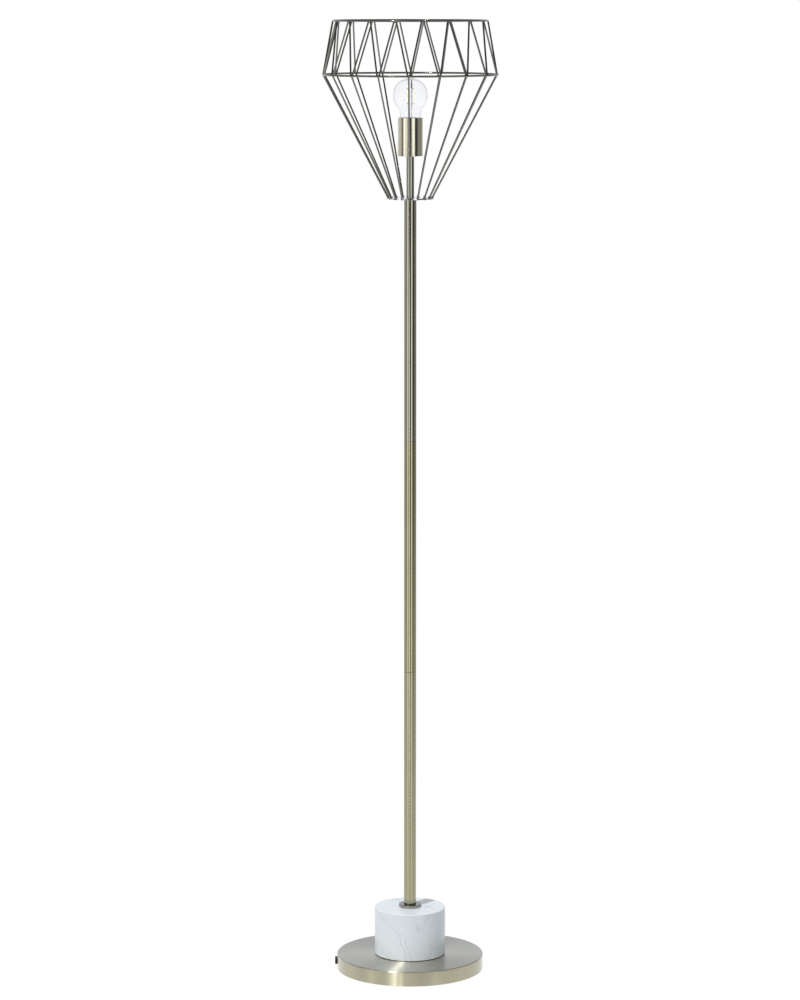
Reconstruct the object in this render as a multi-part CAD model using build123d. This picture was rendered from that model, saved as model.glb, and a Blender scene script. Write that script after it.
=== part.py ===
from build123d import *
from math import cos, hypot, pi, radians, sin, sqrt
import os

# Wire cage floor lamp, in millimetres. The origin is on the floor under the pole, +Z is up,
# and the front of the lamp is the -Y side. Everything turns round the Z axis but the cage
# wires, the cable gland at the left of the base, and what lies inside the base.

# ---- Fits
thread_gap = 0.05           # between a screwed or pressed piece and its hole
slip_gap = 0.3              # between pieces that are put together by hand
turning_gap = 0.3           # round the bulb cap, which screws out

# ---- Base
base_diameter = 257.6
base_height = 26.3
cover_wall = 1.2
cover_edge_round = 1.5
skirt_floor_gap = 0.8       # the cover's skirt hangs this far above the floor
pad_thickness = 1.5
pad_inset = 5.0             # from the base's rim to the pad's rim
plate_thickness = 1.2
weight_side_gap = 2.0
cavity_radius = 26.0        # room for the nut and the turning wires under the weight
cavity_height = 15.3
channel_width = 46.0        # from the cavity out to the gland
plate_screw_count = 4
plate_screw_circle = 95.0   # radius of the circle that the screws stand on
plate_screw_radius = 2.0
plate_screw_length = 12.0
plate_screw_head_radius = 3.6
plate_screw_head_height = 1.2

# ---- Cable gland, a snap-in bush in the skirt
gland_height = 12.2         # of its centre above the floor
gland_flange_radius = 6.9
gland_flange_proud = 3.7
gland_shank_radius = 4.6
gland_barb_radius = 5.2
gland_barb_length = 4.0
gland_bore_radius = 3.2
gland_edge_round = 0.6

# ---- Terminal block in the channel
block_length = 26.0
block_width = 24.0
block_height = 9.6
block_centre = 60.0         # from the lamp's axis towards the gland
block_way_pitch = 7.0
block_way_radius = 1.5
block_ear = 7.5
block_ear_height = 3.0
way_screw_radius = 1.4
way_screw_height = 2.6
ear_screw_radius = 1.5
ear_screw_head_radius = 2.6
ear_screw_head_height = 1.6

# ---- Hollow threaded pieces that carry the wires
rod_radius = 5.0
rod_bore_radius = 3.6
rod_below_nut = 0.8
rod_into_bush = 18.0
nut_height = 4.5
nut_across_corners = 16.0
washer_radius = 11.0
washer_thickness = 1.5
nipple_reach = 8.0          # of each nipple into the piece below it and the piece above it

# ---- Marble block and its collar
marble_diameter = 124.2
marble_height = 83.2
marble_edge = 0.8
gasket_thickness = 0.8
gasket_inset = 1.4
collar_radius = 19.5
collar_height = 5.1
collar_edge = 0.6

# ---- Pole: three tubes that screw together
pole_radius = 10.75
pole_wall = 1.0
pole_lower_length = 422.2
pole_middle_length = 406.5
pole_upper_length = 418.5
pole_end_chamfer = 0.3
bush_length = 26.0
joint_length = 24.0
joint_thread_radius = 6.5
joint_thread_length = 17.0

# ---- Neck and cup
neck_radius = 6.8
neck_length = 71.2
cup_radius = 21.55
cup_height = 65.1
cup_wall = 1.0
cup_floor = 1.2
cup_foot_round = 0.5

# ---- Lampholder inside the cup
holder_radius = 19.0
holder_height = 53.0
holder_entry_height = 6.8   # of the threaded entry above the cup's floor
chamber_radius = 13.6
chamber_height = 14.2
bridge_thickness = 3.0
shell_wall = 0.6
shell_height = 28.0
contact_radius = 4.0
contact_height = 2.8
rivet_radius = 1.5
rivet_head_radius = 2.6
rivet_head_height = 1.0
terminal_circle = 8.6       # radius of the circle that the three terminals stand on
terminal_length = 5.4
terminal_width = 5.0
terminal_height = 5.8
terminal_hole_depth = 4.0

# ---- Bulb
bulb_radius = 30.0
bulb_length = 105.0
glass_wall = 0.9
glass_neck_radius = 18.0
glass_neck_fillet = 14.0
glass_waist_height = 37.2   # where the cylindrical neck starts to narrow, above the tip
cap_radius = 13.05
cap_wall = 0.6
cap_height = 21.5
insulator_height = 5.0
insulator_foot_radius = 6.4
tip_radius = 5.0
tip_height = 1.3
tip_gap = 0.1               # under the insulator, which turns on the tip
contact_gap = 0.3           # between the tip and the lampholder's contact
stem_radius = 2.2
stem_flare_height = 14.0
filament_radius = 0.95
filament_length = 27.0
filament_spread = 5.2       # of each of the four filaments from the axis, along X and Y
filament_drop = 1.5         # of the middle of the filaments below the bulb's centre
lead_radius = 0.35

# ---- Cage
wire_radius = 1.5
hoop_wire_radius = 1.75
cage_sides = 18
cage_turn = -1.2            # degrees from the front to the nearest rib, towards +X
hub_radius = 40.2
hub_thickness = 2.0
rib_foot_radius = 38.4
middle_hoop_radius = 150.2
middle_hoop_height = 209.8  # above the hub plate
top_hoop_radius = 132.2
top_hoop_height = 91.5      # above the middle hoop
zigzag_offset = 1.7         # of a zigzag wire's end from its node, along the hoop

# ---- Inner wires
lead_in_radius = 1.1        # of each of the three insulated wires
lay_radius = 1.45           # of the three round the axis
turn_radius = 7.0           # of the bend under the tie rod
easy_radius = 12.0          # of the bends by the terminal block
spread_radius = 6.0         # of the bend out of the upper nipple
terminal_bend_radius = 3.5
spread_rise = 1.6           # of the corner of that bend above the nipple
block_way_out = 6.0         # straight out of the terminal block
wire_floor_gap = 1.5        # between the bottom plate and the wires' middle line, at the bend

# ---- Heights that follow from the sizes above
plate_bottom = pad_thickness
plate_top = plate_bottom + plate_thickness
cover_radius = base_diameter / 2
cover_inner_radius = cover_radius - cover_wall
cover_under = base_height - cover_wall
cavity_top = plate_top + cavity_height
washer_bottom = cavity_top - washer_thickness
nut_bottom = washer_bottom - nut_height
rod_bottom = nut_bottom - rod_below_nut
marble_bottom = base_height + gasket_thickness
marble_top = marble_bottom + marble_height
pole_bore = pole_radius - pole_wall
lower_joint = marble_top + pole_lower_length
upper_joint = lower_joint + pole_middle_length
pole_top = upper_joint + pole_upper_length
hub_top = pole_top + hub_thickness
middle_hoop_z = hub_top + middle_hoop_height
top_hoop_z = middle_hoop_z + top_hoop_height
cup_bottom = hub_top + neck_length
cup_inside = cup_bottom + cup_floor
chamber_bottom = cup_inside + holder_entry_height
chamber_top = chamber_bottom + chamber_height
bridge_top = chamber_top + bridge_thickness
holder_top = cup_inside + holder_height
contact_top = bridge_top + contact_height
tip_bottom = contact_top + contact_gap
tip_top = tip_bottom + tip_height
insulator_bottom = tip_top + tip_gap
cap_bottom = insulator_bottom + insulator_height
cap_top = cap_bottom + cap_height
bulb_centre = tip_bottom + bulb_length - bulb_radius
threaded_hole = rod_radius + thread_gap
side_step = 360 / cage_sides


def tube(outer, inner, bottom, top):
    """An upright tube round the lamp's axis."""
    height = top - bottom
    wall = Cylinder(outer, height) - Cylinder(inner, height)
    return Pos(0, 0, (bottom + top) / 2) * wall


def post(radius, bottom, top, x=0.0, y=0.0):
    """An upright round bar."""
    return Pos(x, y, (bottom + top) / 2) * Cylinder(radius, top - bottom)


def block(x0, x1, y0, y1, z0, z1):
    """A box between two corners."""
    place = Pos((x0 + x1) / 2, (y0 + y1) / 2, (z0 + z1) / 2)
    return place * Box(x1 - x0, y1 - y0, z1 - z0)


def turned(*points):
    """A piece turned on the lathe, from (radius, height) corners."""
    outline = Polyline(*points, close=True)
    return revolve(Plane.XZ * make_face(outline), Axis.Z)


def rod_between(start, end, radius):
    """A straight round wire from one point to another."""
    way = Vector(*end) - Vector(*start)
    return Solid.make_cylinder(radius, way.length, Plane(origin=start, z_dir=way))


def on_circle(radius, degrees, height=0.0):
    """A point at an angle from the lamp's front, towards +X."""
    turn = radians(degrees)
    return (radius * sin(turn), -radius * cos(turn), height)


def around(shape, count, first=0.0):
    """Copies of a shape, evenly spaced round the lamp's axis."""
    return [Rot(0, 0, first + 360 / count * i) * shape for i in range(count)]


# ---- Base

def plate_screw_points():
    return [on_circle(plate_screw_circle, 45 + 360 / plate_screw_count * i) for i in range(plate_screw_count)]


def base_pad():
    pad = post(cover_radius - pad_inset, 0, pad_thickness)
    for x, y, _ in plate_screw_points():
        pad -= post(plate_screw_head_radius + slip_gap, 0, pad_thickness, x, y)
    return pad


def base_bottom_plate():
    plate = post(cover_inner_radius - slip_gap, plate_bottom, plate_top)
    for x, y, _ in plate_screw_points():
        plate -= post(plate_screw_radius + thread_gap, plate_bottom, plate_top, x, y)
    for y in ear_screw_places():
        plate -= post(ear_screw_radius + thread_gap, plate_bottom, plate_top, -block_centre, y)
    return plate


def base_plate_screws():
    screws = []
    for x, y, _ in plate_screw_points():
        head = post(plate_screw_head_radius, plate_bottom - plate_screw_head_height, plate_bottom, x, y)
        slot = block(x - plate_screw_head_radius, x + plate_screw_head_radius, y - 0.4, y + 0.4,
                     plate_bottom - plate_screw_head_height, plate_bottom - plate_screw_head_height / 2)
        shank = post(plate_screw_radius, plate_bottom, plate_bottom + plate_screw_length, x, y)
        screws.append(head - slot + shank)
    return screws


def base_weight():
    weight_radius = cover_inner_radius - weight_side_gap
    weight = post(weight_radius, plate_top, cover_under)
    weight -= post(cavity_radius, plate_top, cavity_top)
    weight -= block(-weight_radius - 1, 0, -channel_width / 2, channel_width / 2, plate_top, cavity_top)
    weight -= post(rod_radius + slip_gap, cavity_top, cover_under)
    for x, y, _ in plate_screw_points():
        weight -= post(plate_screw_radius + thread_gap, plate_top,
                       plate_bottom + plate_screw_length + slip_gap, x, y)
    return weight


def base_cover():
    outside = post(cover_radius, skirt_floor_gap, base_height)
    rim = outside.edges().filter_by(GeomType.CIRCLE).sort_by(Axis.Z)[-1]
    outside = fillet(rim, cover_edge_round)
    cover = outside - post(cover_inner_radius, skirt_floor_gap, cover_under)
    cover -= post(rod_radius + slip_gap, cover_under, base_height)
    gland_hole = Cylinder(gland_shank_radius + thread_gap, 4 * cover_wall, rotation=(0, 90, 0))
    return cover - Pos(-cover_radius, 0, gland_height) * gland_hole


def cable_gland():
    flange = Cylinder(gland_flange_radius, 2 * gland_flange_proud, rotation=(0, 90, 0))
    flange = Pos(-cover_radius, 0, gland_height) * flange
    face = flange.edges().filter_by(GeomType.CIRCLE).sort_by(Axis.X)[0]
    flange = fillet(face, gland_edge_round) - post(cover_radius, 0, base_height)
    inner_end = -cover_inner_radius + slip_gap + gland_barb_length
    shank_length = inner_end + cover_radius + gland_flange_proud / 2
    shank = Pos(inner_end - shank_length / 2, 0, gland_height) * Cylinder(
        gland_shank_radius, shank_length, rotation=(0, 90, 0))
    barb = Pos(inner_end - gland_barb_length / 2, 0, gland_height) * Cone(
        gland_barb_radius, gland_shank_radius, gland_barb_length, rotation=(0, 90, 0))
    bore = Pos(-cover_radius, 0, gland_height) * Cylinder(
        gland_bore_radius, 4 * gland_barb_length, rotation=(0, 90, 0))
    return flange + shank + barb - bore


# ---- Terminal block

def ear_screw_places():
    return [side * (block_width + block_ear) / 2 for side in (-1, 1)]


def way_places():
    return [block_way_pitch * i for i in (-1, 0, 1)]


def way_screw_points():
    return [(-block_centre + end * block_length / 4, y) for end in (-1, 1) for y in way_places()]


def terminal_block():
    x0, x1 = -block_centre - block_length / 2, -block_centre + block_length / 2
    body = block(x0, x1, -block_width / 2, block_width / 2, plate_top, plate_top + block_height)
    ear_reach = block_width / 2 + block_ear
    body += block(-block_centre - block_ear / 2, -block_centre + block_ear / 2,
                  -ear_reach, ear_reach, plate_top, plate_top + block_ear_height)
    for y in way_places():
        way = Cylinder(block_way_radius, block_length, rotation=(0, 90, 0))
        body -= Pos(-block_centre, y, plate_top + block_height / 2) * way
    block_top = plate_top + block_height
    for x, y in way_screw_points():
        body -= post(way_screw_radius + thread_gap, block_top - way_screw_height, block_top, x, y)
    for y in ear_screw_places():
        body -= post(ear_screw_radius + thread_gap, plate_top, plate_top + block_ear_height, -block_centre, y)
    return body


def terminal_screws():
    block_top = plate_top + block_height
    screws = []
    for x, y in way_screw_points():
        screw = post(way_screw_radius, block_top - way_screw_height, block_top - 0.3, x, y)
        screws.append(screw - block(x - 0.3, x + 0.3, y - way_screw_radius, y + way_screw_radius,
                                    block_top - 1.0, block_top))
    return screws


def block_screws():
    seat = plate_top + block_ear_height
    screws = []
    for y in ear_screw_places():
        head = post(ear_screw_head_radius, seat, seat + ear_screw_head_height, -block_centre, y)
        shank = post(ear_screw_radius, plate_bottom, seat, -block_centre, y)
        screws.append(head + shank)
    return screws


# ---- Tie rod, marble and collar

def tie_rod():
    return tube(rod_radius, rod_bore_radius, rod_bottom, marble_top + rod_into_bush)


def tie_rod_nut():
    prism = extrude(RegularPolygon(nut_across_corners / 2, 6), nut_height)
    return Pos(0, 0, nut_bottom) * prism - post(threaded_hole, nut_bottom, washer_bottom)


def tie_rod_washer():
    return tube(washer_radius, rod_radius + slip_gap, washer_bottom, cavity_top)


def marble_gasket():
    return tube(marble_diameter / 2 - gasket_inset, rod_radius + slip_gap, base_height, marble_bottom)


def marble_block():
    body = chamfer(Cylinder(marble_diameter / 2, marble_height).edges(), marble_edge)
    return Pos(0, 0, marble_bottom + marble_height / 2) * body - post(
        rod_radius + slip_gap, marble_bottom, marble_top)


def pole_collar():
    inner = pole_radius + thread_gap
    return turned(
        (inner, marble_top), (collar_radius, marble_top),
        (collar_radius, marble_top + collar_height - collar_edge),
        (collar_radius - collar_edge, marble_top + collar_height), (inner, marble_top + collar_height))


# ---- Pole

def pole_tube(bottom, length):
    body = tube(pole_radius, pole_bore, bottom, bottom + length)
    rims = [e for e in body.edges().filter_by(GeomType.CIRCLE) if e.radius > pole_radius - pole_end_chamfer]
    return chamfer(rims, pole_end_chamfer)


def pole_bush(bottom):
    """Pressed into a pole end, and threaded for the tie rod or the neck's nipple."""
    return tube(pole_bore - thread_gap, threaded_hole, bottom, bottom + bush_length)


def pole_joint_socket(joint):
    """Pressed into the top of the tube below a joint, with the inside thread."""
    return tube(pole_bore - thread_gap, joint_thread_radius + thread_gap, joint - joint_length, joint)


def pole_joint_stud(joint):
    """Pressed into the foot of the tube above a joint, with the outside thread."""
    head = tube(pole_bore - thread_gap, rod_bore_radius, joint, joint + joint_length)
    thread = tube(joint_thread_radius, rod_bore_radius, joint - joint_thread_length, joint)
    return head + thread


# ---- Cage

def hoop(radius, height):
    return Pos(0, 0, height) * Torus(radius, hoop_wire_radius)


def hub_plate():
    return tube(hub_radius, rod_radius + slip_gap, pole_top, hub_top)


def straight_rib(middle_hoop):
    """One rib at the front. It stands on the hub plate and is welded into the middle hoop."""
    lean = (middle_hoop_radius - rib_foot_radius) / middle_hoop_height
    below = 2 * wire_radius
    start = on_circle(rib_foot_radius - lean * below, 0, hub_top - below)
    rib = rod_between(start, on_circle(middle_hoop_radius, 0, middle_hoop_z), wire_radius)
    rib -= post(hub_radius, hub_top - 2 * below, hub_top)
    return rib - middle_hoop


def zigzag_wire(side, middle_hoop, top_hoop):
    """One slanting wire from the front node of the middle hoop to the next node of the top hoop."""
    step_below = side * degrees_along(zigzag_offset, middle_hoop_radius)
    step_above = side * (side_step / 2 - degrees_along(zigzag_offset, top_hoop_radius))
    start = on_circle(middle_hoop_radius, step_below, middle_hoop_z)
    end = on_circle(top_hoop_radius, step_above, top_hoop_z)
    return rod_between(start, end, wire_radius) - middle_hoop - top_hoop


def degrees_along(length, radius):
    return 180 / pi * length / radius


# ---- Neck, cup and lampholder

def neck_nipple(seat):
    return tube(rod_radius, rod_bore_radius, seat - nipple_reach, seat + nipple_reach)


def neck_tube():
    return tube(neck_radius, threaded_hole, hub_top, cup_bottom)


def lamp_cup():
    outside = post(cup_radius, cup_bottom, cup_bottom + cup_height)
    foot = outside.edges().filter_by(GeomType.CIRCLE).sort_by(Axis.Z)[0]
    outside = fillet(foot, cup_foot_round)
    cup = outside - post(cup_radius - cup_wall, cup_inside, cup_bottom + cup_height)
    return cup - post(rod_radius + slip_gap, cup_bottom, cup_inside)


def holder_body():
    body = post(holder_radius, cup_inside, holder_top)
    body -= post(threaded_hole, cup_inside, chamber_bottom)
    body -= post(chamber_radius, chamber_bottom, chamber_top)
    body -= post(rivet_radius + thread_gap, chamber_top, bridge_top)
    return body - post(cap_radius + turning_gap + shell_wall + thread_gap, bridge_top, holder_top)


def holder_shell():
    inner = cap_radius + turning_gap
    return tube(inner + shell_wall, inner, bridge_top, bridge_top + shell_height)


def holder_contact():
    rivet = post(rivet_radius, chamber_top, bridge_top)
    rivet_head = post(rivet_head_radius, chamber_top - rivet_head_height, chamber_top)
    return post(contact_radius, bridge_top, contact_top) + rivet + rivet_head


def holder_terminals():
    top = chamber_top
    terminal = block(terminal_circle - terminal_length / 2, terminal_circle + terminal_length / 2,
                     -terminal_width / 2, terminal_width / 2, top - terminal_height, top)
    foot = top - terminal_height
    terminal -= post(lead_in_radius + slip_gap, foot, foot + terminal_hole_depth, terminal_circle)
    return [Rot(0, 0, angle) * terminal for angle in wire_angles()]


# ---- Bulb

def glass_outline(inset):
    """A solid of the bulb's outer shape, or of its inside if it is set in by the wall."""
    ball = bulb_radius - inset
    neck = glass_neck_radius - inset
    fillet_radius = glass_neck_fillet + inset
    foot_radius = cap_radius - cap_wall - thread_gap - inset
    waist = tip_bottom + glass_waist_height
    fillet_x = neck + fillet_radius
    fillet_z = bulb_centre - sqrt((ball + fillet_radius) ** 2 - fillet_x ** 2)
    share = ball / (ball + fillet_radius)
    meet = (share * fillet_x, bulb_centre + share * (fillet_z - bulb_centre))
    bend = radians(22)
    fillet_mid = (fillet_x - fillet_radius * cos(bend), fillet_z + fillet_radius * sin(bend))
    side = (ball, bulb_centre)
    foot = cap_bottom + cap_height / 2
    top = (0, bulb_centre + ball)
    outline = [
        Line((0, foot), (foot_radius, foot)),
        Line((foot_radius, foot), (foot_radius, cap_top)),
        Line((foot_radius, cap_top), (neck, waist)),
        Line((neck, waist), (neck, fillet_z)),
        ThreePointArc((neck, fillet_z), fillet_mid, meet),
        ThreePointArc(meet, side, top),
        Line(top, (0, foot)),
    ]
    return revolve(Plane.XZ * make_face(outline), Axis.Z)


def bulb_glass():
    return glass_outline(0) - glass_outline(glass_wall)


def bulb_cap():
    return tube(cap_radius, cap_radius - cap_wall, cap_bottom, cap_top)


def bulb_insulator():
    rim = cap_radius - cap_wall
    return turned(
        (0, insulator_bottom), (insulator_foot_radius, insulator_bottom),
        (cap_radius - cap_wall / 2, cap_bottom), (rim - thread_gap, cap_bottom),
        (rim - thread_gap, cap_bottom + cap_wall), (0, cap_bottom + cap_wall))


def bulb_contact_tip():
    tip = post(tip_radius, tip_bottom, tip_top)
    face = tip.edges().filter_by(GeomType.CIRCLE).sort_by(Axis.Z)[0]
    return fillet(face, tip_height / 2)


def filament_middle():
    return bulb_centre - filament_drop


def stem_bottom():
    return cap_bottom + cap_height / 2


def stem_top():
    return filament_middle() + filament_length / 2 + 2 * lead_radius


def bulb_stem():
    flare_radius = cap_radius - cap_wall - thread_gap - glass_wall - slip_gap
    foot = stem_bottom()
    stem = turned(
        (0, foot), (flare_radius, foot), (flare_radius, foot + 2 * glass_wall),
        (stem_radius, foot + stem_flare_height), (stem_radius, stem_top()), (0, stem_top()))
    crown = stem.edges().filter_by(GeomType.CIRCLE).sort_by(Axis.Z)[-1]
    return fillet(crown, stem_radius / 2)


def filament_places():
    return [(x * filament_spread, y * filament_spread) for x in (-1, 1) for y in (-1, 1)]


def bulb_filaments():
    low = filament_middle() - filament_length / 2
    return [post(filament_radius, low, low + filament_length, x, y) for x, y in filament_places()]


def bulb_leads():
    """Short support wires from the stem to both ends of each filament."""
    leads = []
    for end in (-1, 1):
        height = filament_middle() + end * (filament_length / 2 - 2 * lead_radius)
        for x, y in filament_places():
            reach = hypot(x, y)
            start = (x / reach * stem_radius, y / reach * stem_radius, height)
            stop_share = (reach - filament_radius) / reach
            leads.append(rod_between(start, (x * stop_share, y * stop_share, height), lead_radius))
    return leads


# ---- Inner wires

def wire_angles():
    return [90, 210, 330]


def inner_wire(angle, way):
    """One insulated wire, from the terminal block up the pole to its lampholder terminal."""
    turn = radians(angle)
    x, y = lay_radius * cos(turn), lay_radius * sin(turn)
    run_z = plate_top + lead_in_radius + wire_floor_gap - x
    way_y = way_places()[way]
    way_z = plate_top + block_height / 2
    block_face = -block_centre + block_length / 2
    spread = chamber_bottom + spread_rise
    terminal_foot = chamber_top - terminal_height
    end_x, end_y = terminal_circle * cos(turn), terminal_circle * sin(turn)
    points = [
        (block_face - block_length / 4, way_y, way_z),
        (block_face + block_way_out, way_y, way_z),
        (-cavity_radius, y, run_z),
        (x, y, run_z),
        (x, y, spread),
        (end_x, end_y, terminal_foot - spread_rise),
        (end_x, end_y, terminal_foot + terminal_hole_depth - slip_gap),
    ]
    radii = [easy_radius, easy_radius, turn_radius, spread_radius, terminal_bend_radius]
    path = FilletPolyline(*points, radius=radii)
    section = Plane(origin=points[0], z_dir=(1, 0, 0)) * Circle(lead_in_radius)
    wire = sweep(section, path=path)
    expected = pi * lead_in_radius ** 2 * path.length
    print(f"inner wire at {angle}: {path.length:.0f} mm long, bends {radii}, "
          f"volume {wire.volume:.1f} against {expected:.1f}")
    return wire


def inner_wires():
    ways = {90: 2, 210: 0, 330: 1}
    return [inner_wire(angle, ways[angle]) for angle in wire_angles()]


def write(name, shape):
    pieces = shape if isinstance(shape, list) else [shape]
    solids = [solid for piece in pieces for solid in piece.solids()]
    export_step(solids[0] if len(solids) == 1 else Compound(children=solids), f"parts/{name}.step")


def main():
    os.makedirs("parts", exist_ok=True)

    write("base_pad", base_pad())
    write("base_bottom_plate", base_bottom_plate())
    write("base_plate_screws", base_plate_screws())
    write("base_weight", base_weight())
    write("base_cover", base_cover())
    write("cable_gland", cable_gland())
    write("terminal_block", terminal_block())
    write("terminal_screws", terminal_screws())
    write("block_screws", block_screws())

    write("tie_rod", tie_rod())
    write("tie_rod_nut", tie_rod_nut())
    write("tie_rod_washer", tie_rod_washer())
    write("marble_gasket", marble_gasket())
    write("marble_block", marble_block())
    write("pole_collar", pole_collar())

    write("pole_lower", pole_tube(marble_top, pole_lower_length))
    write("pole_middle", pole_tube(lower_joint, pole_middle_length))
    write("pole_upper", pole_tube(upper_joint, pole_upper_length))
    write("pole_bottom_bush", pole_bush(marble_top))
    write("pole_top_bush", pole_bush(pole_top - bush_length))
    joints = (lower_joint, upper_joint)
    write("pole_joint_sockets", [pole_joint_socket(joint) for joint in joints])
    write("pole_joint_studs", [pole_joint_stud(joint) for joint in joints])

    middle_hoop = hoop(middle_hoop_radius, middle_hoop_z)
    top_hoop = hoop(top_hoop_radius, top_hoop_z)
    write("hub_plate", hub_plate())
    write("middle_hoop", middle_hoop)
    write("top_hoop", top_hoop)
    ribs = around(straight_rib(middle_hoop), cage_sides, cage_turn)
    for number, rib in enumerate(ribs, start=1):
        write(f"rib_{number:02d}", rib)
    for name, side in (("zigzag_wires_left", -1), ("zigzag_wires_right", 1)):
        write(name, around(zigzag_wire(side, middle_hoop, top_hoop), cage_sides, cage_turn))

    write("neck_nipples", [neck_nipple(seat) for seat in (pole_top, cup_bottom)])
    write("neck_tube", neck_tube())
    write("lamp_cup", lamp_cup())
    write("holder_body", holder_body())
    write("holder_shell", holder_shell())
    write("holder_contact", holder_contact())
    write("holder_terminals", holder_terminals())

    write("bulb_contact_tip", bulb_contact_tip())
    write("bulb_cap", bulb_cap())
    write("bulb_insulator", bulb_insulator())
    write("bulb_glass", bulb_glass())
    write("bulb_stem", bulb_stem())
    write("bulb_filaments", bulb_filaments())
    write("bulb_leads", bulb_leads())

    write("inner_wires", inner_wires())


main()
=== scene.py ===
from math import atan2, cos, pi, radians, sin

import bmesh
import bpy
from mathutils import Matrix, Vector, noise


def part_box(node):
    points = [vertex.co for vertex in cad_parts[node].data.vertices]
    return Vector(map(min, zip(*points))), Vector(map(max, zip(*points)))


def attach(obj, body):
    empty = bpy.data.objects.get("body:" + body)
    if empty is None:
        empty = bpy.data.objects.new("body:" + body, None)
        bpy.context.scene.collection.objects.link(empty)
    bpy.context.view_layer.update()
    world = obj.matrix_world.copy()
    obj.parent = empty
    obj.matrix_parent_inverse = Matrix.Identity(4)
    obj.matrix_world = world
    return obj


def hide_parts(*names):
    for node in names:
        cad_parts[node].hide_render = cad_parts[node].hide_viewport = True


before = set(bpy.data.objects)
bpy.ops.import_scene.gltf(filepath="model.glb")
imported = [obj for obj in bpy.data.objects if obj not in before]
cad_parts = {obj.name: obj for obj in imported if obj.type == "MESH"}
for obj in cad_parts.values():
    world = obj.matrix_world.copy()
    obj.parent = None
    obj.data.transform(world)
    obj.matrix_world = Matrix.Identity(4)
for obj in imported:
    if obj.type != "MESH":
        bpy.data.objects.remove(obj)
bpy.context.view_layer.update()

# The looks of the wire cage floor lamp, in metres. The lamp's axis is Z, and its front is -Y.
# An angle round the lamp is counted from the front, and grows towards +X.

MM = 0.001

# ---- The lamp's own places, read from its parts
base_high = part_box("base_cover")[1]
marble_low, marble_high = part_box("marble_block")
hub_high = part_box("hub_plate")[1]
cup_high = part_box("lamp_cup")[1]
cap_low, cap_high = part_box("bulb_cap")
middle_low, middle_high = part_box("middle_hoop")
top_low, top_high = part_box("top_hoop")
filament_low, filament_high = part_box("bulb_filaments")

base_radius = base_high.y
marble_radius = marble_high.x
cup_radius = cup_high.x
cap_radius = cap_high.x
hoop_wire_radius = (middle_high.z - middle_low.z) / 2
middle_hoop_radius = middle_high.x - hoop_wire_radius
top_hoop_radius = top_high.x - hoop_wire_radius
middle_hoop_z = (middle_high.z + middle_low.z) / 2
top_hoop_z = (top_high.z + top_low.z) / 2
cage_sides = len([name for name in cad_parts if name.startswith("rib_")])
cage_turn = radians(-1.2)           # of the rib nearest to the front
rib_foot_radius = 38.4 * MM

# ---- Weld metal at the hoops' nodes and at the ribs' feet
weld_half_length = 3.6 * MM         # along the hoop
weld_half_width = 1.9 * MM
weld_unevenness = 0.08              # of a weld's size
hoop_weld_inset = 0.2 * MM          # from the middle of the hoop's wire, towards the axis
middle_weld_half_height = 2.5 * MM
top_weld_half_height = 2.4 * MM
top_weld_drop = 0.9 * MM            # the wires all meet the top hoop from below
foot_weld_steps = 20                # round each rib
# Millimetres from the rib's axis, and above the hub plate
foot_weld_outline = [(2.9, -1.6), (2.9, -0.1), (2.2, 0.4), (1.75, 1.2), (1.5, 2.4)]

# ---- The bulb's screw cap
cap_wall = 0.35 * MM
cap_columns = 96                    # of faces
cap_cuts = 84                       # across the columns
thread_pitch = 25.4 * MM / 7
thread_depth = 0.6 * MM
thread_run_in = 2.5 * MM            # from the foot, over which the thread grows to its full depth
thread_run_out = 2 * MM
plain_band = 3 * MM                 # over the thread
foot_roll_depth = 0.5 * MM          # of the cap's foot, which is rolled in on the black glass
foot_roll_height = 1.5 * MM

# ---- Camera, light and floor
camera_place = (-0.0176, -6.033, 1.7012)
camera_pitch = radians(8.168)       # below the level
camera_lens = 126.27                # in millimetres, on film 36 mm wide

key_turn = radians(-38)             # the pole's shadow on the marble falls to the back right
key_rise = radians(58)
key_width = radians(1.5)
key_strength = 1.93
room_level = 0.53                   # of the soft light that comes from all sides
room_tint = (0.97, 0.985, 1.0, 1)
floor_radius = 1.7
shadow_reach = floor_radius / 3     # beyond it the floor fades to plain white
floor_grey = 0.55                   # of the paper that takes the lamp's shadow
floor_glow = 1.045                  # of the paper that is seen as plain white
floor_paleness = 0.93               # share of the floor that is seen as plain white

# What the polished pieces mirror, as (degrees from the front, brightness) of upright strips
studio_strips = [
    (-180, 1.0), (-140, 0.8), (-118, 0.62), (-95, 0.58), (-86, 0.38), (-78, 0.15), (-70, 0.25),
    (-64, 0.9), (-58, 1.35), (-46, 1.35), (-38, 1.0), (-32, 0.8), (-26, 0.4), (-20, 0.08),
    (-16, 0.0), (8, 0.0), (13, 0.4), (18, 1.3), (33, 1.35), (39, 0.95), (46, 0.15), (51, 0.02),
    (64, 0.04), (74, 0.2), (85, 0.27), (101, 0.29), (122, 0.31), (150, 0.62), (180, 1.0)]
strip_scale = 1.6                   # brightness that a full colour stands for

# Narrow upright lamps: degrees from the front, half width in degrees, brightness, foot and top.
# Heights in the studio are given as a direction's rise, the sine of its slope.
studio_lamps = [
    (-23, 4, 0.6, -0.055, 0.03),
    (-14, 2.2, 4.2, -0.22, -0.075),
    (-24, 1.5, 1.6, -0.6, -0.25),
    (-23, 2, 1.6, 0.06, 1.0)]
lamp_side_blur = 1                  # degrees to each side of a lamp's edge
lamp_end_blur = 0.03                # rise over which a lamp's foot or top fades

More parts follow.
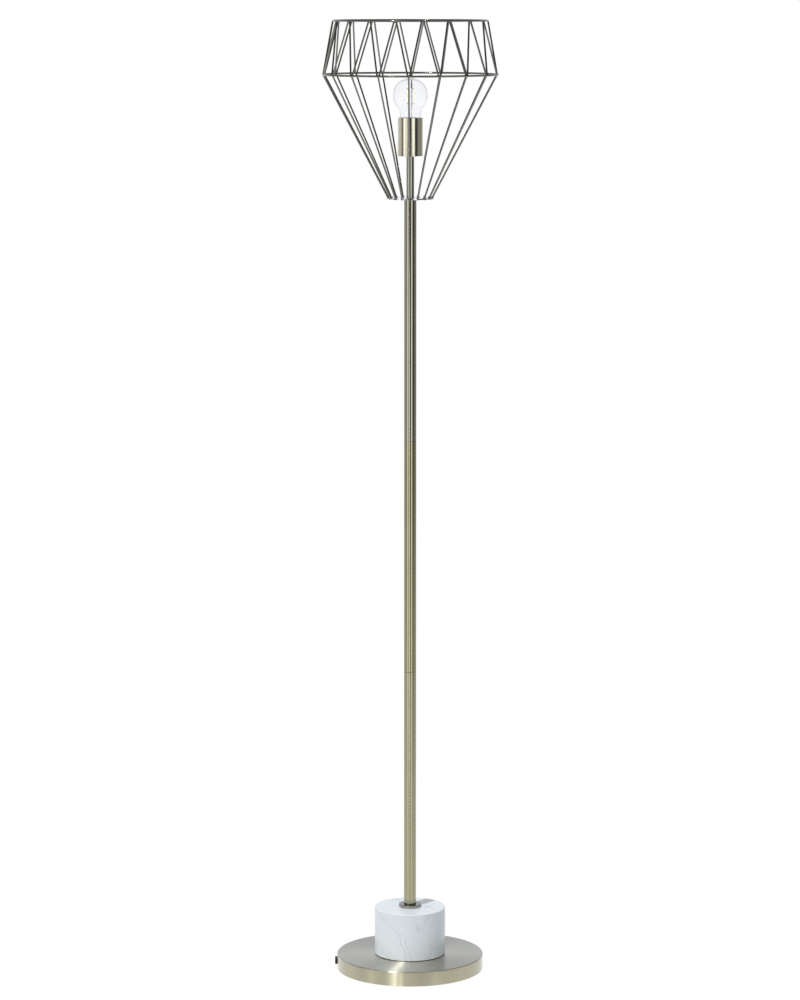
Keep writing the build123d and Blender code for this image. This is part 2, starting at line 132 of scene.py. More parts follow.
# Bands of the studio, each by the rises where it begins and where it is full
tint_band = (0.0, 0.2)              # from the level up, the strips are dimmer and cooler
tint_of_strips = (0.62, 0.65, 0.7, 1)
dark_band = (0.12, 0.26)            # above the strips, all round but for the back
dark_level = 0.14
back_share = (-0.6, -0.2)           # forward parts of a direction between which the back ends
ceiling_band = (0.55, 0.95)
ceiling_level = 0.35
floor_band = (-0.1, -0.32)
floor_level = 1.0
counter_band = (-0.26, -0.36)       # floor that is light where the strips are dark, and the reverse
counter_middle = 0.6                # brightness of a strip under which such floor has the floor's level
near_band = (-0.6, -0.85)           # floor round the lamp's foot
near_level = 0.65

# ---- Plain tints
white = (1, 1, 1, 1)
bare_metal = (0.6, 0.6, 0.6, 1)
dust_on_metal = (0.6, 0.59, 0.56, 1)
dust_on_mouldings = (0.6, 0.59, 0.57, 1)


def around(radius, angle, height):
    """A point on a level circle round the lamp."""
    return Vector((radius * sin(angle), -radius * cos(angle), height))


# ---- Shader nodes

def add(tree, kind, inputs=None, **settings):
    """A new node. An input that is given a socket is linked to it, and any other value is set."""
    made = tree.nodes.new(kind)
    for name, value in settings.items():
        setattr(made, name, value)
    for name, value in (inputs or {}).items():
        if isinstance(value, bpy.types.NodeSocket):
            tree.links.new(value, made.inputs[name])
        else:
            made.inputs[name].default_value = value
    return made


def calc(tree, operation, first, second=0.0, third=0.0, clamp=False):
    """The result of a Math node."""
    inputs = {0: first, 1: second, 2: third}
    return add(tree, "ShaderNodeMath", inputs, operation=operation, use_clamp=clamp).outputs[0]


def ease(tree, value, low, high):
    """A value taken smoothly from 0 to 1, while it goes from low to high."""
    inputs = {"Value": value, "From Min": low, "From Max": high}
    return add(tree, "ShaderNodeMapRange", inputs, interpolation_type="SMOOTHSTEP").outputs["Result"]


def lift(tree, value, start, end):
    """A value from 0 to 1 taken to a range of its own."""
    return calc(tree, "MULTIPLY_ADD", value, end - start, start)


def split(tree, vector):
    """The X, Y and Z of a vector."""
    return add(tree, "ShaderNodeSeparateXYZ", {0: vector}).outputs


def join(tree, x=0.0, y=0.0, z=0.0):
    """A vector of three numbers."""
    return add(tree, "ShaderNodeCombineXYZ", {0: x, 1: y, 2: z}).outputs[0]


def length(tree, vector):
    return add(tree, "ShaderNodeVectorMath", {0: vector}, operation="LENGTH").outputs["Value"]


def place_on_piece(tree):
    """Where a point of a piece lies in the lamp, which is the same at every pose."""
    return add(tree, "ShaderNodeTexCoord").outputs["Object"]


def cloud(tree, place, scale, detail=2.0, distortion=0.0):
    """Noise from 0 to 1, whose lumps are about 1 / scale wide."""
    inputs = {"Vector": place, "Scale": scale, "Detail": detail, "Distortion": distortion}
    return add(tree, "ShaderNodeTexNoise", inputs).outputs["Fac"]


def blend_colours(tree, factor, first, second, mode="MIX"):
    """Two colours mixed by a factor."""
    inputs = {0: factor, 6: first, 7: second}
    return add(tree, "ShaderNodeMix", inputs, data_type="RGBA", blend_type=mode).outputs[2]


def blend_shaders(tree, factor, first, second):
    """Two shaders mixed by a factor."""
    inputs = {0: factor, 1: first.outputs[0], 2: second.outputs[0]}
    return add(tree, "ShaderNodeMixShader", inputs)


def grey(level):
    return (level, level, level, 1)


# ---- Camera, light and floor

def place_camera():
    camera = bpy.data.objects.new("camera", bpy.data.cameras.new("camera"))
    camera.data.lens = camera_lens
    camera.location = camera_place
    camera.rotation_euler = (pi / 2 - camera_pitch, 0, 0)
    bpy.context.scene.collection.objects.link(camera)
    bpy.context.scene.camera = camera


def place_key_light():
    key = bpy.data.objects.new("key_light", bpy.data.lights.new("key_light", "SUN"))
    key.data.energy = key_strength
    key.data.angle = key_width
    towards = around(cos(key_rise), key_turn, sin(key_rise))
    key.rotation_euler = towards.to_track_quat("Z", "Y").to_euler()
    bpy.context.scene.collection.objects.link(key)


def share_of_turn(angle):
    """Degrees from the front, as a share of a full turn that begins at the back."""
    return angle / 360 + 0.5


def studio_grey(level):
    """The colour that stands for a brightness in the studio."""
    return grey(level / strip_scale)


def upright_strips(tree, turn):
    """The strips' light in a direction."""
    ramp = add(tree, "ShaderNodeValToRGB", {"Fac": turn})
    elements = ramp.color_ramp.elements
    ramp.color_ramp.interpolation = "EASE"
    last = len(studio_strips) - 1
    for number, (angle, level) in enumerate(studio_strips):
        inner = 0 < number < last
        element = elements.new(share_of_turn(angle)) if inner else elements[-1 if number else 0]
        element.color = studio_grey(level)
    return ramp.outputs["Color"]


def upright_lamp(tree, turn, rise, angle, half_width, level, foot, top):
    """A narrow lamp's light in a direction."""
    off = calc(tree, "ABSOLUTE", calc(tree, "SUBTRACT", turn, share_of_turn(angle)))
    outer, inner = half_width + lamp_side_blur, half_width - lamp_side_blur
    across = ease(tree, off, outer / 360, inner / 360)
    above_foot = ease(tree, rise, foot - lamp_end_blur / 2, foot + lamp_end_blur / 2)
    below_top = ease(tree, rise, top + lamp_end_blur / 2, top - lamp_end_blur / 2)
    upright = calc(tree, "MULTIPLY", above_foot, below_top)
    return calc(tree, "MULTIPLY", calc(tree, "MULTIPLY", across, upright), level / strip_scale)


def studio_light(tree):
    """What a polished piece mirrors: strips with a dark band over them, ceiling, floor and lamps."""
    direction = split(tree, add(tree, "ShaderNodeTexCoord").outputs["Generated"])
    forward = calc(tree, "MULTIPLY", direction["Y"], -1)
    rise = direction["Z"]
    turn = calc(tree, "MULTIPLY_ADD", calc(tree, "ARCTAN2", direction["X"], forward), 0.5 / pi, 0.5)
    tint = blend_colours(tree, ease(tree, rise, *tint_band), white, tint_of_strips)
    strips = blend_colours(tree, 1.0, upright_strips(tree, turn), tint, "MULTIPLY")
    front = ease(tree, forward, *back_share)
    above = calc(tree, "MULTIPLY", front, ease(tree, rise, *dark_band))
    light = blend_colours(tree, above, strips, studio_grey(dark_level))
    even = (floor_level + counter_middle) / strip_scale
    counter = calc(tree, "MULTIPLY_ADD", strips, -1, even, clamp=True)
    bands = (
        (ceiling_band, studio_grey(ceiling_level)),
        (floor_band, studio_grey(floor_level)),
        (counter_band, counter),
        (near_band, studio_grey(near_level)))
    for band, colour in bands:
        light = blend_colours(tree, ease(tree, rise, *band), light, colour)
    for lamp in studio_lamps:
        light = blend_colours(tree, 1.0, light, upright_lamp(tree, turn, rise, *lamp), "ADD")
    return light


def build_world():
    """White for the camera, the studio for what mirrors, and an even level for the rest."""
    world = bpy.data.worlds.new("white_studio")
    bpy.context.scene.world = world
    world.use_nodes = True
    tree = world.node_tree
    tree.nodes.clear()
    rays = add(tree, "ShaderNodeLightPath").outputs
    seen = calc(tree, "MAXIMUM", rays["Is Camera Ray"], rays["Is Transmission Ray"])
    room = add(tree, "ShaderNodeBackground", {"Color": room_tint, "Strength": room_level})
    studio = add(tree, "ShaderNodeBackground", {"Color": studio_light(tree), "Strength": strip_scale})
    paper = add(tree, "ShaderNodeBackground", {"Color": white, "Strength": 1.0})
    lit = blend_shaders(tree, rays["Is Glossy Ray"], room, studio)
    shown = blend_shaders(tree, seen, lit, paper)
    add(tree, "ShaderNodeOutputWorld", {"Surface": shown.outputs[0]})


def lay_floor():
    """A pale round floor, plain white to the camera but for a trace of the lamp's shadow."""
    mesh = bmesh.new()
    bmesh.ops.create_circle(mesh, cap_ends=True, segments=96, radius=floor_radius)
    floor = to_object(mesh, "floor")
    material = bpy.data.materials.new("floor_paper")
    material.use_nodes = True
    tree = material.node_tree
    tree.nodes.clear()
    edge = ease(tree, length(tree, place_on_piece(tree)), shadow_reach, floor_radius)
    rays = add(tree, "ShaderNodeLightPath").outputs
    seen = calc(tree, "MAXIMUM", rays["Is Camera Ray"], rays["Is Transmission Ray"])
    plain = calc(tree, "MULTIPLY", seen, calc(tree, "MAXIMUM", edge, floor_paleness))
    paper = add(tree, "ShaderNodeBsdfDiffuse", {"Color": grey(floor_grey)})
    glow = add(tree, "ShaderNodeEmission", {"Color": white, "Strength": floor_glow})
    mixed = blend_shaders(tree, plain, paper, glow)
    add(tree, "ShaderNodeOutputMaterial", {"Surface": mixed.outputs[0]})
    floor.data.materials.append(material)
    floor.visible_glossy = False


# ---- Effects that several finishes share

def group_of(name, inputs, output):
    """An empty node group with named numbers going in and one coming out."""
    tree = bpy.data.node_groups.new(name, "ShaderNodeTree")
    for label, default in inputs.items():
        socket = tree.interface.new_socket(label, in_out="INPUT", socket_type="NodeSocketFloat")
        socket.default_value = default
    tree.interface.new_socket(output, in_out="OUTPUT", socket_type="NodeSocketFloat")
    return tree, tree.nodes.new("NodeGroupInput").outputs


def use(tree, group, **inputs):
    """The output of a node group that is placed in a material with its own values."""
    named = {label.replace("_", " "): value for label, value in inputs.items()}
    return add(tree, "ShaderNodeGroup", named, node_tree=group).outputs[0]


def lathe_grain_group():
    """Fine lines left by brushing a turned piece: they run round the lamp's axis."""
    tree, given = group_of("lathe_grain", {"line width": 0.4 * MM, "breaks": 2.0}, "lines")
    here = split(tree, place_on_piece(tree))
    flat = join(tree, here["X"], here["Y"])
    along = calc(tree, "DIVIDE", calc(tree, "ADD", here["Z"], length(tree, flat)), given["line width"])
    outward = add(tree, "ShaderNodeVectorMath", {0: flat}, operation="NORMALIZE").outputs[0]
    spread = {0: outward, "Scale": given["breaks"]}
    turned = add(tree, "ShaderNodeVectorMath", spread, operation="SCALE").outputs[0]
    both = {0: turned, 1: join(tree, z=along)}
    place = add(tree, "ShaderNodeVectorMath", both, operation="ADD").outputs[0]
    lines = ease(tree, cloud(tree, place, 1.0, detail=3.0), 0.3, 0.7)
    add(tree, "NodeGroupOutput", {"lines": lines})
    return tree


def smudge_group():
    """Soft patches, as from hands, lacquer and age."""
    tree, given = group_of("smudges", {"size": 30 * MM, "spread": 0.15}, "patches")
    scale = calc(tree, "DIVIDE", 1.0, given["size"])
    low = calc(tree, "SUBTRACT", 0.5, given["spread"])
    high = calc(tree, "ADD", 0.5, given["spread"])
    patches = ease(tree, cloud(tree, place_on_piece(tree), scale, detail=4.0), low, high)
    add(tree, "NodeGroupOutput", {"patches": patches})
    return tree


def edge_wear_and_highlight_group():
    """Rubbed metal along a round edge, and on the marble a painted highlight along it; the edge is a
    circle at a radius and a height.
    """
    edge = {"edge radius": 0.1, "edge height": 0.1, "width": 1.5 * MM}
    tree, given = group_of("edge_wear_and_highlight", edge, "wear_and_highlight")
    place = place_on_piece(tree)
    here = split(tree, place)
    reach = length(tree, join(tree, here["X"], here["Y"]))
    out = calc(tree, "SUBTRACT", reach, given["edge radius"])
    up = calc(tree, "SUBTRACT", here["Z"], given["edge height"])
    gap = calc(tree, "DIVIDE", length(tree, join(tree, out, up)), given["width"])
    near = calc(tree, "SUBTRACT", 1.0, gap, clamp=True)
    ragged = ease(tree, cloud(tree, place, 120.0, detail=4.0), 0.4, 0.62)
    add(tree, "NodeGroupOutput", {"wear_and_highlight": calc(tree, "MULTIPLY", near, ragged)})
    return tree


def dust_group():
    """Fine dust on what faces upwards."""
    tree, given = group_of("dust", {"amount": 0.3}, "dust")
    place = place_on_piece(tree)
    normal = add(tree, "ShaderNodeNewGeometry").outputs["Normal"]
    upward = ease(tree, split(tree, normal)["Z"], 0.3, 1.0)
    specks = ease(tree, cloud(tree, place, 900.0, detail=3.0), 0.45, 0.75)
    drifts = ease(tree, cloud(tree, place, 25.0), 0.35, 0.65)
    lying = calc(tree, "MULTIPLY", calc(tree, "MULTIPLY", specks, drifts), upward)
    add(tree, "NodeGroupOutput", {"dust": calc(tree, "MULTIPLY", lying, given["amount"])})
    return tree


def pits_group():
    """Small pits and lumps, as in castings, stone, rubber and moulded plastic."""
    tree, given = group_of("pits", {"size": 1.0 * MM}, "height")
    scale = calc(tree, "DIVIDE", 1.0, given["size"])
    add(tree, "NodeGroupOutput", {"height": cloud(tree, place_on_piece(tree), scale, detail=5.0)})
    return tree


lathe_grain = lathe_grain_group()
smudges = smudge_group()
edge_wear_and_highlight = edge_wear_and_highlight_group()
dust = dust_group()
pits = pits_group()


# ---- Finishes

def new_finish(name, **plain):
    """A material with one shader, whose plain values are set on its own sockets."""
    material = bpy.data.materials.new(name)
    material.use_nodes = True
    tree = material.node_tree
    tree.nodes.clear()
    shader = add(tree, "ShaderNodeBsdfPrincipled")
    for label, value in plain.items():
        shader.inputs[label.replace("_", " ")].default_value = value
    add(tree, "ShaderNodeOutputMaterial", {"Surface": shader.outputs[0]})
    return material, tree, shader


def feed(tree, shader, label, value):
    tree.links.new(value, shader.inputs[label])


def emboss(tree, shader, height, depth):
    """A bump of a given depth in metres."""
    bump = add(tree, "ShaderNodeBump", {"Height": height, "Distance": depth, "Strength": 1.0})
    feed(tree, shader, "Normal", bump.outputs[0])


def brass(name, light, dark, roughness, line_width, brushed=0.0, lacquer=0.0, edges=(), side=None):
    """Antique brass plate. A turned piece is brushed round the lamp's axis, by a share from 0 to 1.

    Each rubbed edge is a radius, a height and a width. The side of a disc, given as its height,
    roughness and tint, can be smoother than the disc's top and have a tint of its own.
    """
    material, tree, shader = new_finish(
        name, Metallic=1.0, Anisotropic=brushed, Coat_Weight=lacquer, Coat_Roughness=0.03)
    aged = use(tree, smudges, size=45 * MM, spread=0.25)
    if brushed:
        shader.inputs["Anisotropic Rotation"].default_value = 0.25
        tangent = add(tree, "ShaderNodeTangent", direction_type="RADIAL", axis="Z")
        feed(tree, shader, "Tangent", tangent.outputs[0])
        broad = use(tree, lathe_grain, line_width=8 * line_width, breaks=0.4)
        fine = use(tree, lathe_grain, line_width=line_width, breaks=0.8)
    else:
        broad = use(tree, smudges, size=14 * MM, spread=0.2)
        fine = use(tree, pits, size=line_width)
    # The shade is mostly age, then broad marks, then fine ones.
    shade = calc(tree, "MULTIPLY_ADD", broad, 0.25, calc(tree, "MULTIPLY", fine, 0.1))
    shade = calc(tree, "MULTIPLY_ADD", aged, 0.65, shade)
    colour = blend_colours(tree, shade, light, dark)
    rubbed = [min(1, 1.35 * part) for part in light[:3]] + [1]
    for radius, height, width in edges:
        wear_and_highlight = use(tree, edge_wear_and_highlight, edge_radius=radius, edge_height=height, width=width)
        colour = blend_colours(tree, wear_and_highlight, colour, rubbed)
    marks = use(tree, smudges, size=60 * MM, spread=0.12)
    rough = calc(tree, "MULTIPLY_ADD", marks, 0.03, lift(tree, fine, roughness - 0.01, roughness + 0.01))
    if side:
        side_height, side_roughness, side_tint = side
        here = split(tree, place_on_piece(tree))
        below = ease(tree, here["Z"], side_height + 0.3 * MM, side_height - 0.3 * MM)
        tinted = blend_colours(tree, 1.0, colour, side_tint, "MULTIPLY")
        colour = blend_colours(tree, below, colour, tinted)
        rough = calc(tree, "MULTIPLY_ADD", below, side_roughness - roughness, rough)
    fallen = use(tree, dust, amount=0.2)
    feed(tree, shader, "Base Color", blend_colours(tree, fallen, colour, dust_on_metal))
    feed(tree, shader, "Roughness", rough)
    emboss(tree, shader, fine, 0.0015 * MM)
    return material


def vein(tree, angle, height, points, width, wobble):
    """A line in the marble's side that follows (degrees from the front, mm above the block's foot)."""
    reach = 90.0                    # degrees to each side of the front that the curve's values span
    tall = (marble_high.z - marble_low.z) / MM
    curve = add(tree, "ShaderNodeFloatCurve", {"Value": calc(tree, "DIVIDE", height, tall * MM)})
    line = curve.mapping.curves[0]
    for turn, above in points[1:-1]:
        line.points.new(above / tall, turn / (2 * reach) + 0.5)
    ends = (points[0], points[-1])
    for point, (turn, above) in zip((line.points[0], line.points[-1]), ends):
        point.location = (above / tall, turn / (2 * reach) + 0.5)
    for point in line.points:
        point.handle_type = "AUTO_CLAMPED"
    curve.mapping.update()
    course = calc(tree, "MULTIPLY_ADD", curve.outputs[0], 2 * radians(reach), -radians(reach))
    off = calc(tree, "ADD", calc(tree, "SUBTRACT", angle, course), wobble)
    gap = calc(tree, "MULTIPLY", calc(tree, "ABSOLUTE", off), marble_radius)
    fade = 2 * MM
    low, high = points[0][1] * MM, points[-1][1] * MM
    inside = calc(tree, "MULTIPLY", ease(tree, height, low - fade, low + fade),
                  ease(tree, height, high + fade, high - fade))
    return calc(tree, "MULTIPLY", ease(tree, gap, width, 0.0), inside)


def marble():
    """White stone with two veins in courses of their own, finer ones all through, and faint clouds."""
    first_vein = [
        (-4, 0), (-5.8, 2), (-9, 18), (-14, 30), (-17.6, 44.5), (-26.4, 54.5), (-32, 57.5),
        (-55, 74.5), (-58, 81)]
    second_vein = [(4, 0), (2.5, 4), (-0.8, 14.7), (-5.8, 27.3), (-9.1, 41.6), (-15.9, 52), (-26, 56)]
    material, tree, shader = new_finish("marble", Coat_Weight=0.25, Coat_Roughness=0.12, IOR=1.5)
    place = place_on_piece(tree)
    here = split(tree, place)
    angle = calc(tree, "ARCTAN2", here["X"], calc(tree, "MULTIPLY", here["Y"], -1))
    height = calc(tree, "SUBTRACT", here["Z"], marble_low.z)
    wobble = lift(tree, cloud(tree, place, 160.0, detail=3.0), -0.05, 0.05)
    veins = calc(tree, "MAXIMUM", vein(tree, angle, height, first_vein, 1.3 * MM, wobble),
                 vein(tree, angle, height, second_vein, 1.1 * MM, wobble))
    swirl = cloud(tree, place, 9.0, detail=6.0, distortion=0.6)
    ridge = ease(tree, calc(tree, "ABSOLUTE", calc(tree, "SUBTRACT", swirl, 0.5)), 0.012, 0.0)
    finer = calc(tree, "MULTIPLY", ridge, ease(tree, cloud(tree, place, 22.0), 0.45, 0.6))
    clouds = use(tree, smudges, size=55 * MM, spread=0.3)
    colour = blend_colours(tree, clouds, (0.82, 0.885, 0.925, 1), (0.78, 0.84, 0.885, 1))
    colour = blend_colours(tree, calc(tree, "MULTIPLY", finer, 0.4), colour, (0.5, 0.51, 0.54, 1))
    colour = blend_colours(tree, calc(tree, "MULTIPLY", veins, 0.6), colour, (0.5, 0.51, 0.55, 1))
    # A painted highlight along the block's top and bottom edges, lighter than the stone.
    for edge_height in (marble_low.z, marble_high.z):
        wear_and_highlight = use(tree, edge_wear_and_highlight, edge_radius=marble_radius, edge_height=edge_height, width=2 * MM)
        colour = blend_colours(tree, wear_and_highlight, colour, (0.9, 0.9, 0.9, 1))
    feed(tree, shader, "Base Color", colour)
    marks = use(tree, smudges, size=25 * MM, spread=0.2)
    feed(tree, shader, "Roughness", lift(tree, marks, 0.3, 0.4))
    emboss(tree, shader, use(tree, pits, size=3 * MM), 0.02 * MM)
    return material


def moulded(name, light, dark, roughness, grain, depth, **plain):
    """Plastic, rubber, porcelain or stone: one colour with a fine grain, soft patches and some dust."""
    material, tree, shader = new_finish(name, **plain)
    patches = use(tree, smudges, size=12 * grain, spread=0.25)
    lumps = use(tree, pits, size=grain)
    shade = calc(tree, "MULTIPLY_ADD", patches, 0.5, calc(tree, "MULTIPLY", lumps, 0.5))
    colour = blend_colours(tree, shade, light, dark)
    fallen = use(tree, dust, amount=0.1)
    feed(tree, shader, "Base Color", blend_colours(tree, fallen, colour, dust_on_mouldings))
    feed(tree, shader, "Roughness", lift(tree, patches, roughness - 0.05, roughness + 0.08))
    emboss(tree, shader, lumps, depth)
    return material


def drawn_metal(name, light, dark, roughness, grain):
    """Plain metal from the mill or the press, with small dents and dull patches."""
    material, tree, shader = new_finish(name, Metallic=1.0)
    patches = use(tree, smudges, size=18 * grain, spread=0.2)
    lumps = use(tree, pits, size=grain)
    shade = calc(tree, "MULTIPLY_ADD", patches, 0.6, calc(tree, "MULTIPLY", lumps, 0.4))
    feed(tree, shader, "Base Color", blend_colours(tree, shade, light, dark))
    feed(tree, shader, "Roughness", lift(tree, patches, roughness - 0.05, roughness + 0.1))
    emboss(tree, shader, lumps, 0.005 * MM)
    return material


def clear_glass():
    """The bulb's clear glass, with a breath of haze in its colour."""
    material, tree, shader = new_finish(
        "bulb_glass", Transmission_Weight=1.0, IOR=1.42, Metallic=0.0, Roughness=0.0)
    haze = use(tree, smudges, size=20 * MM, spread=0.3)
    colour = blend_colours(tree, haze, (0.975, 0.98, 0.995, 1), (0.965, 0.97, 0.99, 1))
    feed(tree, shader, "Base Color", colour)
    return material


def filament():
    """A yellow coat with bare metal at both ends. The coat has a painted glow, though the bulb is not
    lit.
    """
    material, tree, shader = new_finish("filament", Emission_Strength=0.5)
    height = split(tree, place_on_piece(tree))["Z"]
    middle = (filament_low.z + filament_high.z) / 2
    half = (filament_high.z - filament_low.z) / 2
    from_middle = calc(tree, "ABSOLUTE", calc(tree, "SUBTRACT", height, middle))
    bare = ease(tree, from_middle, half - 2.2 * MM, half - 1.9 * MM)
    grains = use(tree, pits, size=0.4 * MM)
    coat_and_painted_glow = blend_colours(tree, grains, (0.95, 0.93, 0.75, 1), (0.88, 0.85, 0.64, 1))
    feed(tree, shader, "Base Color", blend_colours(tree, bare, coat_and_painted_glow, bare_metal))
    # Painted glow of the yellow coat; the bare ends don't glow.
    feed(tree, shader, "Emission Color", blend_colours(tree, bare, coat_and_painted_glow, grey(0)))
    feed(tree, shader, "Metallic", bare)
    feed(tree, shader, "Roughness", lift(tree, bare, 0.6, 0.35))
    emboss(tree, shader, grains, 0.02 * MM)
    return material


# Light and dark tint, roughness, width of the brushed lines, share of brushing, share of lacquer
brasses = {
    "pole_brass": ((0.43, 0.415, 0.275, 1), (0.385, 0.37, 0.24, 1), 0.07, 0.5 * MM, 0.5, 0.3),
    "warm_brass": ((0.43, 0.405, 0.255, 1), (0.385, 0.36, 0.225, 1), 0.05, 0.5 * MM, 0.5, 0.3),
    "cool_brass": ((0.44, 0.43, 0.34, 1), (0.39, 0.38, 0.295, 1), 0.04, 0.5 * MM, 0.5, 0.3),
    "neck_brass": ((0.54, 0.53, 0.47, 1), (0.49, 0.48, 0.42, 1), 0.03, 0.5 * MM, 0.3, 0.5),
    # The hub plate's pale lilac is a painted reflection of the bright backdrop that its top mirrors.
    "plate_brass": ((0.74, 0.74, 0.8, 1), (0.66, 0.66, 0.72, 1), 0.1, 0.3 * MM, 0.5, 0.5),
    "collar_brass": ((0.4, 0.385, 0.36, 1), (0.34, 0.325, 0.3, 1), 0.12, 0.3 * MM, 0.5, 0.0),
    "cage_brass": ((0.228, 0.224, 0.2, 1), (0.15, 0.147, 0.132, 1), 0.06, 0.6 * MM, 0.0, 0.3),
    "turned_brass": ((0.55, 0.45, 0.22, 1), (0.42, 0.33, 0.15, 1), 0.28, 0.3 * MM, 0.8, 0.0),
}

# Light and dark tint, roughness, size of the grain, and its depth
mouldings = {
    "black_plastic": ((0.012, 0.012, 0.013, 1), (0.025, 0.025, 0.026, 1), 0.4, 0.3 * MM, 0.02 * MM),
    "white_plastic": ((0.72, 0.71, 0.67, 1), (0.62, 0.61, 0.57, 1), 0.42, 0.3 * MM, 0.02 * MM),
    "dark_rubber": ((0.03, 0.03, 0.03, 1), (0.05, 0.048, 0.045, 1), 0.75, 0.4 * MM, 0.05 * MM),
    "floor_pad": ((0.035, 0.035, 0.036, 1), (0.06, 0.06, 0.06, 1), 0.9, 0.5 * MM, 0.15 * MM),
    "concrete": ((0.42, 0.41, 0.39, 1), (0.3, 0.29, 0.28, 1), 0.85, 2.5 * MM, 0.4 * MM),
    "black_glass": ((0.015, 0.012, 0.014, 1), (0.03, 0.025, 0.03, 1), 0.1, 1.5 * MM, 0.02 * MM),
    "wire_insulation": ((0.45, 0.43, 0.4, 1), (0.36, 0.34, 0.32, 1), 0.5, 0.3 * MM, 0.02 * MM),
}

# Light and dark tint, roughness and size of the grain
mill_metals = {
    "plain_steel": ((0.56, 0.56, 0.57, 1), (0.42, 0.42, 0.43, 1), 0.35, 0.6 * MM),
    "solder": ((0.62, 0.62, 0.62, 1), (0.48, 0.48, 0.49, 1), 0.3, 0.5 * MM),
    "cap_metal": ((0.66, 0.65, 0.62, 1), (0.52, 0.51, 0.48, 1), 0.22, 0.5 * MM),
}

# The pole's tubes differ a little in tint and gloss, so these nodes have a finish that their slot
# doesn't name.
other_finishes = {
    "pole_middle": "warm_brass",
    "pole_upper": "cool_brass",
    "neck_tube": "neck_brass",
    # Pale lilac on the hub plate: a painted reflection of the bright backdrop.
    "hub_plate": "plate_brass",
}


def base_brass():
    """Brushed round the axis, with a rubbed rim and a smoother, yellower side."""
    rim = (base_radius, base_high.z, 1.6 * MM)
    side = (base_high.z - 1.2 * MM, 0.29, (0.95, 0.95, 0.83, 1))
    return brass("base_brass", (0.64, 0.61, 0.495, 1), (0.58, 0.55, 0.44, 1), 0.31, 0.35 * MM,
                 brushed=1.0, lacquer=1.0, edges=[rim], side=side)


def cup_brass():
    """The palest plating, with a rubbed lip."""
    lip = (cup_radius, cup_high.z, 0.8 * MM)
    return brass("cup_brass", (0.82, 0.79, 0.625, 1), (0.74, 0.71, 0.555, 1), 0.1, 0.5 * MM,
                 brushed=0.5, lacquer=0.5, edges=[lip])


def porcelain():
    return moulded("porcelain", (0.82, 0.81, 0.78, 1), (0.76, 0.75, 0.71, 1), 0.18, 2.0 * MM,
                   0.02 * MM, Coat_Weight=0.6)


def all_finishes():
    """Every finish, by its name."""
    finishes = {}
    for make, family in ((brass, brasses), (moulded, mouldings), (drawn_metal, mill_metals)):
        for name, values in family.items():
            finishes[name] = make(name, *values)
    finishes["base_brass"] = base_brass()
    finishes["cup_brass"] = cup_brass()
    finishes["porcelain"] = porcelain()
    finishes["marble"] = marble()
    finishes["bulb_glass"] = clear_glass()
    finishes["filament"] = filament()
    return finishes


def dress_parts(finishes):
    """Gives each CAD node the finish that its record slot names, or the one that other_finishes gives
    it.
    """
    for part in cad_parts.values():
        for slot in part.material_slots:
            slot.material = finishes[slot.material.name.split(".")[0]]
    for node, finish in other_finishes.items():
        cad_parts[node].material_slots[0].material = finishes[finish]


# ---- Pieces that are modelled here

def to_object(mesh, name):
    """Turns a bmesh into an object in the scene, smoothly shaded."""
    for face in mesh.faces:
        face.smooth = True
    data = bpy.data.meshes.new(name)
    mesh.to_mesh(data)
    mesh.free()
    made = bpy.data.objects.new(name, data)
    bpy.context.scene.collection.objects.link(made)
    return made


def finish_piece(mesh, name, finish, body):
    """Makes the piece, gives it its finish, and lets it ride on a body."""
    made = to_object(mesh, name)
    made.data.materials.append(finish)
    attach(made, body)
    return made


def hoop_weld(mesh, centre, along, half_height, seed):
    """One lump of weld metal, a little uneven, lying along a hoop."""
    lump = bmesh.ops.create_icosphere(mesh, subdivisions=3, radius=1.0)["verts"]
    for vert in lump:
        vert.co *= 1 + weld_unevenness * noise.noise(vert.co * 1.7 + Vector((seed, 0, 0)))
    turn = along.to_track_quat("X", "Z").to_matrix().to_4x4()
    size = Matrix.Diagonal((weld_half_length, weld_half_width, half_height, 1))
    bmesh.ops.transform(mesh, verts=lump, matrix=Matrix.Translation(centre) @ turn @ size)


def hoop_welds(name, radius, height, first, half_height, finish):
    """A weld at each node of a hoop."""
    mesh = bmesh.new()
    for number in range(cage_sides):
        angle = first + 2 * pi * number / cage_sides
        centre = around(radius - hoop_weld_inset, angle, height)
        along = Vector((cos(angle), sin(angle), 0))
        hoop_weld(mesh, centre, along, half_height, number)
    return finish_piece(mesh, name, finish, "stand")


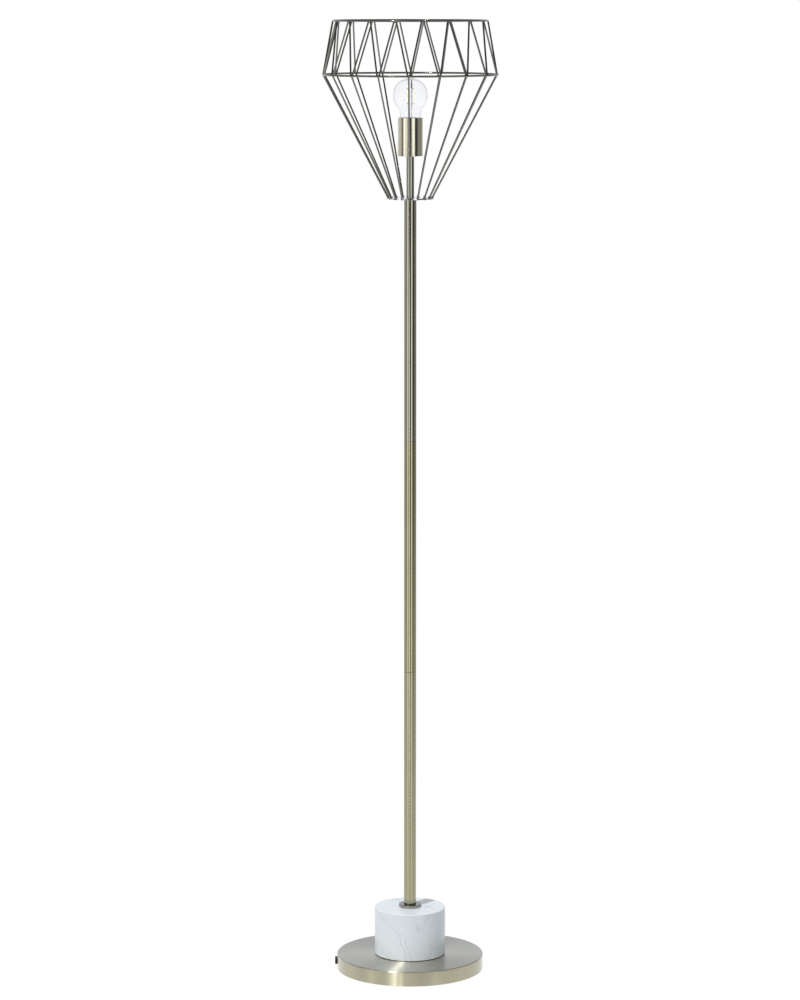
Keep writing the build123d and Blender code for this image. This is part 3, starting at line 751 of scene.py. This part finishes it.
def foot_welds(finish):
    """A fillet of weld metal round each rib where it stands on the hub plate."""
    mesh = bmesh.new()
    lean = atan2(middle_hoop_radius - rib_foot_radius, middle_hoop_z - hub_high.z)
    tilt = Matrix.Rotation(lean, 4, "X")
    for number in range(cage_sides):
        angle = cage_turn + 2 * pi * number / cage_sides
        made_before = len(mesh.verts)
        ring = [mesh.verts.new((radius * MM, 0, above * MM)) for radius, above in foot_weld_outline]
        edges = [mesh.edges.new(pair) for pair in zip(ring, ring[1:])]
        bmesh.ops.spin(mesh, geom=ring + edges, axis=(0, 0, 1), cent=(0, 0, 0),
                       steps=foot_weld_steps, angle=2 * pi, use_merge=True)
        mesh.verts.ensure_lookup_table()
        foot = Matrix.Translation(around(rib_foot_radius, angle, hub_high.z))
        matrix = foot @ Matrix.Rotation(angle, 4, "Z") @ tilt
        bmesh.ops.transform(mesh, verts=mesh.verts[made_before:], matrix=matrix)
    return finish_piece(mesh, "rib_foot_welds", finish, "stand")


def threaded_cap(finish):
    """The bulb's screw cap: thin metal with a rolled thread between two plain bands."""
    mesh = bmesh.new()
    tall = cap_high.z - cap_low.z
    bmesh.ops.create_cone(mesh, segments=cap_columns, radius1=cap_radius, radius2=cap_radius, depth=tall)
    upright = [edge for edge in mesh.edges if abs(edge.verts[0].co.z - edge.verts[1].co.z) > tall / 2]
    bmesh.ops.subdivide_edges(mesh, edges=upright, cuts=cap_cuts, use_grid_fill=True)
    for vert in mesh.verts:
        above = vert.co.z + tall / 2
        turn = atan2(vert.co.y, vert.co.x) / (2 * pi)
        wave = 0.5 + 0.5 * cos(2 * pi * (above / thread_pitch - turn))
        run_in = min(1, above / thread_run_in)
        run_out = min(1, max(0, (tall - plain_band - above) / thread_run_out))
        radius = cap_radius - thread_depth * (1 - wave) * run_in * run_out
        radius -= foot_roll_depth * max(0, 1 - above / foot_roll_height)
        vert.co.x *= radius / cap_radius
        vert.co.y *= radius / cap_radius
    bmesh.ops.translate(mesh, verts=mesh.verts, vec=(0, 0, (cap_high.z + cap_low.z) / 2))
    made = finish_piece(mesh, "threaded_cap", finish, "bulb")
    wall = made.modifiers.new("wall", "SOLIDIFY")
    wall.thickness = cap_wall
    wall.offset = -1
    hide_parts("bulb_cap")
    return made


def main():
    bpy.context.scene.view_settings.view_transform = "Standard"
    place_camera()
    place_key_light()
    build_world()
    lay_floor()
    finishes = all_finishes()
    dress_parts(finishes)
    weld = finishes["cage_brass"]
    hoop_welds("middle_hoop_welds", middle_hoop_radius, middle_hoop_z, cage_turn,
               middle_weld_half_height, weld)
    hoop_welds("top_hoop_welds", top_hoop_radius, top_hoop_z - top_weld_drop,
               cage_turn + pi / cage_sides, top_weld_half_height, weld)
    foot_welds(weld)
    threaded_cap(finishes["cap_metal"])


main()
